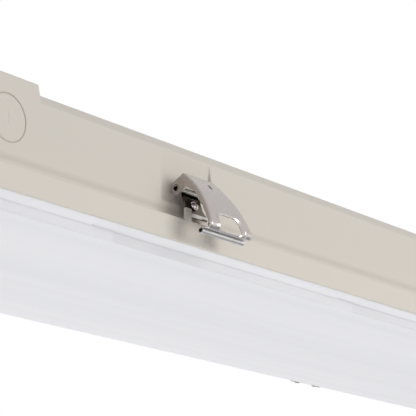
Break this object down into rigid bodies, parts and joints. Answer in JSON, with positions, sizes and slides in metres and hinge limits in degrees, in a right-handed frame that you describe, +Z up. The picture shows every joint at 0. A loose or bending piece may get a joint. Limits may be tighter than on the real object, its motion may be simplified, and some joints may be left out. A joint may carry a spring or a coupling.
{
  "type": "vapor tight light fixture",
  "caption": "Long wide-body ceiling light with a sealed beige housing, a shallow frosted lens, steel snap latches along both sides and slots for ceiling screws.",
  "frame": {"origin": "in the ceiling plane, midway between the two mounting slots, over the middle of the fixture", "axes": "+X along the fixture, +Y across it, +Z up into the ceiling"},
  "size_m": [1.27, 0.2369, 0.0834],
  "materials": {
    "shell": "satin moulded fibreglass polyester, warm light grey",
    "gasket_rubber": "black closed-cell poured gasket",
    "lens": "frosted white acrylic diffuser",
    "white_paint": "gloss white baked enamel",
    "steel": "zinc plated",
    "stainless": "bright stainless steel",
    "spring_steel": "polished stainless spring steel",
    "rivet_steel": "bright stainless steel",
    "board": "white solder mask",
    "led": "yellow phosphor",
    "driver_white": "white painted case",
    "terminal_plastic": "natural nylon",
    "wire_black": "insulation",
    "wire_red": "insulation",
    "brass": "bright",
    "vent_black": "matte"
  },
  "bodies": {
    "fixture": {"housing": "shell", "gasket": "gasket_rubber", "lens": "lens", "gear_tray": "white_paint", "tray_screws": "steel", "led_board_1": "board", "led_board_2": "board", "led_board_3": "board", "led_board_4": "board", "led_packages_1": "led", "led_packages_2": "led", "led_packages_3": "led", "led_packages_4": "led", "driver_case": "driver_white", "driver_screws": "steel", "terminal_block": "terminal_plastic", "supply_wires": "wire_black", "output_wires": "wire_red", "earth_screw": "brass", "vent_plug": "vent_black", "mounting_clip_1": "stainless", "mounting_clip_2": "stainless", "latch_bracket_1": "stainless", "latch_bracket_2": "stainless", "latch_bracket_3": "stainless", "latch_bracket_4": "stainless", "latch_bracket_5": "stainless", "latch_bracket_6": "stainless", "latch_rivets": "rivet_steel"},
    "latch_1": {"latch_lever_1": "spring_steel", "latch_pin_1": "rivet_steel"},
    "latch_2": {"latch_lever_2": "spring_steel", "latch_pin_2": "rivet_steel"},
    "latch_3": {"latch_lever_3": "spring_steel", "latch_pin_3": "rivet_steel"},
    "latch_4": {"latch_lever_4": "spring_steel", "latch_pin_4": "rivet_steel"},
    "latch_5": {"latch_lever_5": "spring_steel", "latch_pin_5": "rivet_steel"},
    "latch_6": {"latch_lever_6": "spring_steel", "latch_pin_6": "rivet_steel"}
  },
  "joints": [
    {"name": "latch_1_hinge", "type": "hinge", "parent": "fixture", "child": "latch_1", "pos_m": [-0.415, -0.0964, -0.0341], "axis": [-1, 0, 0], "range_deg": [-33, 57]},
    {"name": "latch_2_hinge", "type": "hinge", "parent": "fixture", "child": "latch_2", "pos_m": [0, -0.0964, -0.0341], "axis": [-1, 0, 0], "range_deg": [0, 90]},
    {"name": "latch_3_hinge", "type": "hinge", "parent": "fixture", "child": "latch_3", "pos_m": [0.415, -0.0964, -0.0341], "axis": [-1, 0, 0], "range_deg": [0, 90]},
    {"name": "latch_4_hinge", "type": "hinge", "parent": "fixture", "child": "latch_4", "pos_m": [-0.415, 0.0964, -0.0341], "axis": [1, 0, 0], "range_deg": [0, 90]},
    {"name": "latch_5_hinge", "type": "hinge", "parent": "fixture", "child": "latch_5", "pos_m": [0, 0.0964, -0.0341], "axis": [1, 0, 0], "range_deg": [0, 90]},
    {"name": "latch_6_hinge", "type": "hinge", "parent": "fixture", "child": "latch_6", "pos_m": [0.415, 0.0964, -0.0341], "axis": [1, 0, 0], "range_deg": [0, 90]}
  ]
}
